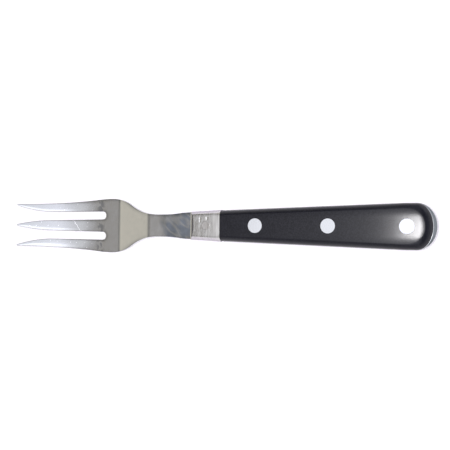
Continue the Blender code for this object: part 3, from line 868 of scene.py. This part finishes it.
SHANK_RADIUS = 1.5 * MM
SHANK_LENGTH = 6.2 * MM
SLEEVE_LENGTH = 8.3 * MM
BORE_SLACK = 0.1 * MM
END_SPACE = 0.3 * MM
BORE_DEPTH = SHANK_LENGTH + END_SPACE - (2 * shoulder - SLEEVE_LENGTH)
RIVET_SIZES = ("Head Radius", "Head Thickness", "Shank Radius", "Shank Length", "Bore Radius", "Bore Depth")
RIVET_COLOUR = (0.84, 0.855, 0.88)
RIVET_ROUGHNESS = (0.07, 0.13)
BELT_SIZE = 0.20 * MM
BELT_STRETCH = (1, 30, 30)
BELT_DEPTH = 0.005 * MM


def rivet_half_tree():
    """Node tree that sets one half rivet on each point: head, shank and the bore in the shank's end."""
    tree = bpy.data.node_groups.new("rivet_half", "GeometryNodeTree")
    tree.interface.new_socket("Places", in_out="INPUT", socket_type="NodeSocketGeometry")
    for name in RIVET_SIZES:
        tree.interface.new_socket(name, in_out="INPUT", socket_type="NodeSocketFloat").default_value = MM
    tree.interface.new_socket("Finish", in_out="INPUT", socket_type="NodeSocketMaterial")
    tree.interface.new_socket("Rivets", in_out="OUTPUT", socket_type="NodeSocketGeometry")
    given = tree.nodes.new("NodeGroupInput").outputs

    def rod(radius, length, top):
        sizes = {"Vertices": ROUND_SIDES, "Radius": radius, "Depth": length}
        made = add_node(tree, "GeometryNodeMeshCylinder", sizes, fill_type="NGON")
        middle = reckon(tree, "MULTIPLY_ADD", length, -0.5, top)
        place = add_node(tree, "ShaderNodeCombineXYZ", {"Z": middle})
        moved = {"Geometry": made.outputs["Mesh"], "Translation": place.outputs[0]}
        return add_node(tree, "GeometryNodeTransform", moved).outputs["Geometry"]

    head = rod(given["Head Radius"], given["Head Thickness"], 0.0)
    shank = rod(given["Shank Radius"], given["Shank Length"], 0.0)
    joined = add_node(tree, "GeometryNodeMeshBoolean", operation="UNION", solver="EXACT")
    for part in (head, shank):
        tree.links.new(part, joined.inputs["Mesh 2"])
    bore_top = reckon(tree, "SUBTRACT", given["Bore Depth"], given["Shank Length"])
    hollow = rod(given["Bore Radius"], given["Shank Length"], bore_top)
    bored = add_node(tree, "GeometryNodeMeshBoolean", operation="DIFFERENCE", solver="EXACT")
    tree.links.new(joined.outputs["Mesh"], bored.inputs["Mesh 1"])
    tree.links.new(hollow, bored.inputs["Mesh 2"])
    sizes = {"Points": given["Places"], "Instance": bored.outputs["Mesh"]}
    placed = add_node(tree, "GeometryNodeInstanceOnPoints", sizes)
    real = add_node(tree, "GeometryNodeRealizeInstances", {"Geometry": placed.outputs["Instances"]})
    dressed = {"Geometry": real.outputs["Geometry"], "Material": given["Finish"]}
    done = add_node(tree, "GeometryNodeSetMaterial", dressed)
    add_node(tree, "NodeGroupOutput", {"Rivets": done.outputs["Geometry"]})
    return tree


def make_rivet_halves(name, tree, side, sizes, finish):
    """Three rivet halves as one plain mesh, heads ground to the scale's face and turned to their side."""
    mesh = bpy.data.meshes.new(name)
    mesh.from_pydata([(x, 0, 0) for x in RIVET_PLACES], [], [])
    halves = bpy.data.objects.new(name, mesh)
    bpy.context.scene.collection.objects.link(halves)
    maker = halves.modifiers.new("rivet_half", "NODES")
    maker.node_group = tree
    for socket in tree.interface.items_tree:
        if socket.name in sizes:
            maker[socket.identifier] = sizes[socket.name]
        if socket.name == "Finish":
            maker[socket.identifier] = finish
    bpy.context.view_layer.update()
    graph = bpy.context.evaluated_depsgraph_get()
    solid = bpy.data.meshes.new_from_object(halves.evaluated_get(graph))
    halves.modifiers.remove(maker)
    halves.data = solid
    for vert in solid.vertices:
        ground_off = HANDLE_DEPTH - scale_height(vert.co.x, vert.co.y) if vert.co.z > -SAME_POINT else 0
        vert.co.z = TANG_MIDDLE + side * (FACE + vert.co.z - ground_off)
    shape = bmesh.new()
    shape.from_mesh(solid)
    bmesh.ops.recalc_face_normals(shape, faces=shape.faces)
    shape.to_mesh(solid)
    shape.free()
    shade_by_angle(halves)
    return halves


def ground_aluminium():
    """Bright aluminium, ground across the fork with a fine belt."""
    finish, tree, shader, spot = new_finish("rivet_aluminium", RIVET_COLOUR, 1.0)
    lines = noise(tree, spot, BELT_SIZE, 3.0, BELT_STRETCH)
    tree.links.new(spread(tree, lines, 0.3, 0.7, *RIVET_ROUGHNESS), shader.inputs["Roughness"])
    tree.links.new(relief(tree, lines, BELT_DEPTH, 0.6), shader.inputs["Normal"])
    return finish


rivet_tree = rivet_half_tree()
rivet_finish = ground_aluminium()
shank = (SHANK_RADIUS, RIVET_HEAD + SHANK_LENGTH, BORE_SLACK, BORE_SLACK)
sleeve = (SLEEVE_RADIUS, RIVET_HEAD + SLEEVE_LENGTH, SHANK_RADIUS + BORE_SLACK, BORE_DEPTH)
RIVET_HALVES = (("rivet_fronts", "solid", 1, shank), ("rivet_backs", "tubular", -1, sleeve))

for rivet_name, kind, side, stem in RIVET_HALVES:
    sizes = dict(zip(RIVET_SIZES, (RIVET_RADIUS, RIVET_HEAD, *stem)))
    rivet_halves = make_rivet_halves(rivet_name, rivet_tree, side, sizes, rivet_finish)
    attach(rivet_halves, "root")
    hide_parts(*[f"{place}_rivet_{kind}" for place in ("front", "middle", "rear")])

# The table
# A plain pale table top that the fork lies on. It shows white to the camera and to the metal, and the
# fork's shadow still falls on it.

TABLE_SIZE = 6.0
TABLE_GAP = 0.1 * MM
TABLE_COLOUR = (0.60, 0.59, 0.61, 1)
TABLE_GLOW_COLOUR = (0.97, 0.92, 1.0, 1)
TABLE_GLOW = 0.42

table_shape = bmesh.new()
bmesh.ops.create_grid(table_shape, x_segments=1, y_segments=1, size=TABLE_SIZE / 2)
bmesh.ops.translate(table_shape, verts=table_shape.verts, vec=(0, 0, -TABLE_GAP))
table = add_piece("table_top", table_shape)
table_finish = bpy.data.materials.new("pale_table")
table_finish.use_nodes = True
table_tree = table_finish.node_tree
table_tree.nodes.remove(table_tree.nodes["Principled BSDF"])


def seen_directly(tree):
    """1 for what the camera sees, straight or in a reflection or through glass, and 0 for light bounces."""
    path = add_node(tree, "ShaderNodeLightPath").outputs
    mirrored = reckon(tree, "MAXIMUM", path["Is Glossy Ray"], path["Is Transmission Ray"])
    return reckon(tree, "MAXIMUM", path["Is Camera Ray"], mirrored)


lit = add_node(table_tree, "ShaderNodeBsdfDiffuse", {"Color": TABLE_COLOUR}).outputs[0]
glow = add_node(table_tree, "ShaderNodeEmission", {"Color": TABLE_GLOW_COLOUR, "Strength": TABLE_GLOW})
both = add_node(table_tree, "ShaderNodeAddShader", {0: lit, 1: glow.outputs[0]}).outputs[0]
shown = add_node(table_tree, "ShaderNodeMixShader", {0: seen_directly(table_tree), 1: lit, 2: both})
table_tree.links.new(shown.outputs[0], table_tree.nodes["Material Output"].inputs["Surface"])
table.data.materials.append(table_finish)

# The light
# A room whose ceiling is brightest above the handle, with a warm wall low beyond the tines, a bright
# near wall and a dimmer far side. One soft lamp hangs over the butt, its glare held off the rivets.

ROOM_STOPS = (
    (-90, (0.80, 0.78, 0.72)),
    (-64, (0.90, 0.87, 0.76)),
    (-53.6, (0.85, 0.80, 0.695)),
    (-52, (0.755, 0.72, 0.63)),
    (-48, (0.60, 0.575, 0.51)),
    (-42, (0.45, 0.435, 0.40)),
    (-36, (0.26, 0.26, 0.25)),
    (-29, (0.47, 0.445, 0.415)),
    (-24, (0.465, 0.45, 0.435)),
    (-20, (0.60, 0.59, 0.61)),
    (-17.5, (0.97, 0.975, 1.02)),
    (-13, (0.92, 0.93, 0.98)),
    (-5, (1.30, 1.32, 1.46)),
    (4, (1.16, 1.19, 1.30)),
    (15, (1.0, 1.03, 1.12)),
    (25, (0.34, 0.36, 0.40)),
    (36, (0.12, 0.13, 0.15)),
    (44, (0.20, 0.22, 0.25)),
    (52, (0.42, 0.45, 0.50)),
    (62, (0.50, 0.53, 0.58)),
    (75, (0.85, 0.89, 0.97)),
    (90, (0.95, 0.97, 1.0)),
)
TINE_SIDE_STOPS = (
    (-90, 0.75),
    (-42, 0.6),
    (-32, 0.9),
    (-26, 1.6),
    (-6, 1.6),
    (-4, 1.0),
    (15, 1.0),
    (37, 0.55),
    (90, 0.55),
)
HANDLE_SIDE_STOPS = (
    (-90, 0.75),
    (-42, 0.6),
    (-34, 0.7),
    (-24, 0.5),
    (-10, 1.0),
    (-4, 1.03),
    (4, 1.03),
    (14, 0.8),
    (34, 0.25),
    (46, 0.38),
    (60, 1.0),
    (90, 1.4),
)
BUTT_SIDE_STOPS = (
    (-90, 0.9),
    (-25, 0.9),
    (25, 0.9),
    (40, 2.2),
    (90, 2.2),
)
NEAR_WALL_COLOUR = (1.1, 1.08, 1.12, 1)
NEAR_WALL_EDGE = (math.radians(-28), math.radians(-45))
OVER_TINES_EDGE = (math.radians(-16), math.radians(-8))
BEYOND_BUTT_EDGE = (math.radians(15), math.radians(40))
BEYOND_TIPS_EDGE = (math.radians(-42), math.radians(-54))
HORIZON = 0.06
WHITE = (1, 1, 1, 1)

world = bpy.data.worlds.new("room")
bpy.context.scene.world = world
world.use_nodes = True
room = world.node_tree
whole_way = add_node(room, "ShaderNodeTexCoord").outputs["Generated"]
way = add_node(room, "ShaderNodeSeparateXYZ", {"Vector": whole_way}).outputs
lean = reckon(room, "ARCTAN2", way["X"], way["Z"])
sideways = reckon(room, "ARCSINE", way["Y"])


def by_angle(angle, stops):
    """Colour, or grey level, for an angle from -90 to 90 degrees, eased from stop to stop."""
    share = spread(room, angle, -math.pi / 2, math.pi / 2, 0.0, 1.0)
    made = add_node(room, "ShaderNodeValToRGB", {"Fac": share})
    marks = made.color_ramp.elements
    made.color_ramp.interpolation = "EASE"
    while len(marks) < len(stops):
        marks.new(1.0)
    for mark, (degrees, shade) in zip(marks, stops):
        mark.position = (degrees + 90) / 180
        mark.color = (*shade, 1) if isinstance(shade, tuple) else (shade, shade, shade, 1)
    return made.outputs["Color"]


beside_tines = by_angle(sideways, TINE_SIDE_STOPS)
beside_handle = by_angle(sideways, HANDLE_SIDE_STOPS)
beside_butt = by_angle(sideways, BUTT_SIDE_STOPS)
over_tines = spread(room, lean, *OVER_TINES_EDGE, 0.0, 1.0)
beyond_butt = spread(room, lean, *BEYOND_BUTT_EDGE, 0.0, 1.0)
beyond_tips = spread(room, lean, *BEYOND_TIPS_EDGE, 0.0, 1.0)
brightness = mixed_colour(room, over_tines, beside_handle, beside_tines)
brightness = mixed_colour(room, beyond_butt, brightness, beside_butt)
brightness = mixed_colour(room, beyond_tips, brightness, WHITE)
near_wall = spread(room, sideways, *NEAR_WALL_EDGE, 0.0, 1.0)
surround = mixed_colour(room, near_wall, by_angle(lean, ROOM_STOPS), NEAR_WALL_COLOUR)
walls = add_node(room, "ShaderNodeBackground", {"Color": surround, "Strength": brightness})
white = add_node(room, "ShaderNodeBackground", {"Color": WHITE, "Strength": 1.0})
low_down = spread(room, way["Z"], HORIZON / 2, HORIZON, 1.0, 0.0)
camera_ray = add_node(room, "ShaderNodeLightPath").outputs["Is Camera Ray"]
is_white = reckon(room, "MAXIMUM", camera_ray, times(room, seen_directly(room), low_down))
mixed = add_node(room, "ShaderNodeMixShader", {0: is_white, 1: walls.outputs[0], 2: white.outputs[0]})
room.links.new(mixed.outputs[0], room.nodes["World Output"].inputs["Surface"])

LAMP_PLACE = Vector((0.1035, 0.0005, 0.38))
LAMP_SIZE = 0.085
LAMP_POWER = 1.35
LAMP_COLOUR = (1.0, 0.985, 1.0)

lamp_data = bpy.data.lights.new("soft_lamp", "AREA")
lamp_data.shape = "DISK"
lamp_data.size = LAMP_SIZE
lamp_data.energy = LAMP_POWER
lamp_data.color = LAMP_COLOUR
lamp = bpy.data.objects.new("soft_lamp", lamp_data)
lamp.location = LAMP_PLACE
lamp.rotation_euler = LAMP_PLACE.to_track_quat("Z", "Y").to_euler()
bpy.context.scene.collection.objects.link(lamp)
glare_free = bpy.data.collections.new("glare_free")
for rivet_name, *_ in RIVET_HALVES:
    glare_free.objects.link(bpy.data.objects[rivet_name])
lamp.light_linking.receiver_collection = glare_free
for shaded in glare_free.collection_objects:
    shaded.light_linking.link_state = "EXCLUDE"

# The camera
# It looks down on the fork from above the butt, leaning a little to the near side.

AIM = Vector((5.16, 0.41, 5.5)) * MM
CAMERA_DISTANCE = 457.7 * MM
LEAN_TO_BUTT = math.radians(19.44)
LEAN_TO_NEAR_SIDE = math.radians(1.645)
CAMERA_ROLL = math.radians(0.793)
LENS = 78.63

outward = Vector((math.sin(LEAN_TO_BUTT), -math.sin(LEAN_TO_NEAR_SIDE), 0))
outward.z = math.sqrt(1 - outward.length_squared)
level_right = Vector((0, 1, 0)).cross(outward).normalized()
turn = Matrix.Rotation(CAMERA_ROLL, 3, outward)
right = turn @ level_right
up = turn @ outward.cross(level_right)
camera_data = bpy.data.cameras.new("camera")
camera_data.lens = LENS
camera = bpy.data.objects.new("camera", camera_data)
facing = Matrix((right, up, outward)).transposed().to_4x4()
camera.matrix_world = Matrix.Translation(AIM + outward * CAMERA_DISTANCE) @ facing
bpy.context.scene.collection.objects.link(camera)
bpy.context.scene.camera = camera
bpy.context.scene.view_settings.view_transform = "Standard"
